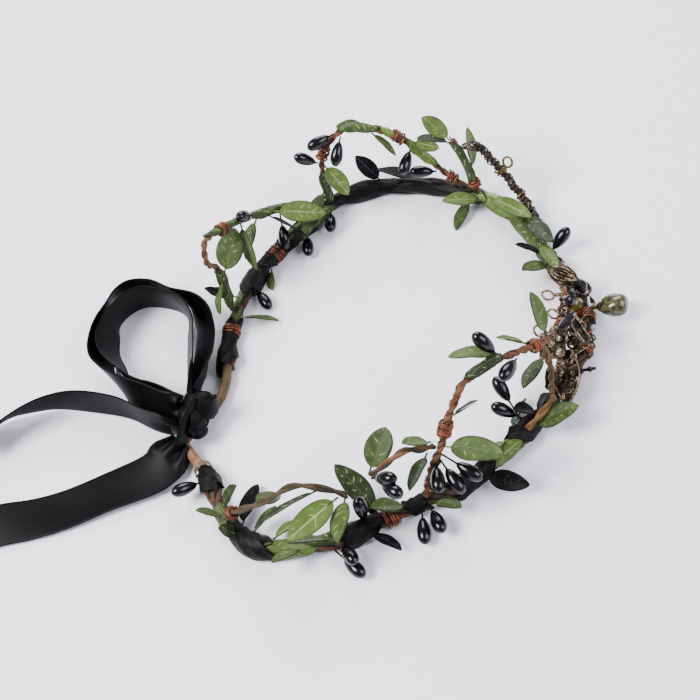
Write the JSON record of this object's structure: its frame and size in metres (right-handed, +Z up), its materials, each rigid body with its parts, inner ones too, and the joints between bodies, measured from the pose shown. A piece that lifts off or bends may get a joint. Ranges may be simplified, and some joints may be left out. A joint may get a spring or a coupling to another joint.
{
  "type": "elf crown",
  "caption": "Open branch circlet with twisted arches, cloth leaves, drop berries, a bronze front ornament and a satin ribbon tied in a bow at the back.",
  "frame": {"origin": "middle of the head opening on the plane that the crown rests on", "axes": "+Z up, -Y towards the front ornament, +Y towards the ribbon tie, +X towards the side with the two tall arches"},
  "size_m": [0.2011, 0.2901, 0.0562],
  "materials": {
    "bark": "dark brown florist's tape over wire",
    "stem": "brown paper and cotton wound stems",
    "copper_wire": "copper coloured wire",
    "green_leaf": "green printed cloth",
    "black_leaf": "black printed cloth",
    "berry": "glossy",
    "satin": "black satin",
    "bronze": "aged, dark in the hollows",
    "silver": "aged silvery",
    "dark_stone": "polished, dark",
    "olive_glass": "olive, clear",
    "amber_stone": "amber, clouded",
    "white_bead": "glossy",
    "tan_stem": "cut tan twig",
    "twig": "ribbed grey-brown twig"
  },
  "bodies": {
    "root": {"hoop": "bark", "arch_back_far": "stem", "arch_side_far": "stem", "stem_front_far": "stem", "arch_front_near": "stem", "arch_back_near": "stem", "branch_front_near": "stem", "twig_front_near": "stem", "wraps_far": "copper_wire", "wraps_near": "copper_wire", "leaves_back_near": "green_leaf", "leaves_side_near": "green_leaf", "leaves_front_near": "green_leaf", "leaves_back_far": "green_leaf", "leaves_side_far": "green_leaf", "leaves_front_far": "green_leaf", "black_leaves_near": "black_leaf", "black_leaves_far": "black_leaf", "berries_back_near": "berry", "berries_side_near": "berry", "berries_front_near": "berry", "berries_arch_near": "berry", "berries_back_far": "berry", "berries_foot_far": "berry", "berries_arch_far": "berry", "berries_front_far": "berry", "ribbon_loop_outer": "satin", "ribbon_loop_inner": "satin", "ribbon_tail_upper": "satin", "ribbon_tail_lower": "satin", "ribbon_knot": "satin", "crest_front": "stem", "stub_front_near": "tan_stem", "front_leaf_upper": "bronze", "front_leaf_lower": "bronze", "front_scroll": "bronze", "front_bar": "dark_stone", "front_cabochon": "dark_stone", "front_bezel": "silver", "front_drop": "olive_glass", "front_drop_cap": "bronze", "front_nugget": "olive_glass", "front_pod": "amber_stone", "front_bead_dark": "dark_stone", "front_bead_leaf": "dark_stone", "front_bead_white": "white_bead", "front_ring": "bronze", "front_coil_inner": "bronze", "front_coil_outer": "bronze", "front_tip": "dark_stone", "side_twig": "twig", "side_ring": "bronze"}
  },
  "joints": []
}
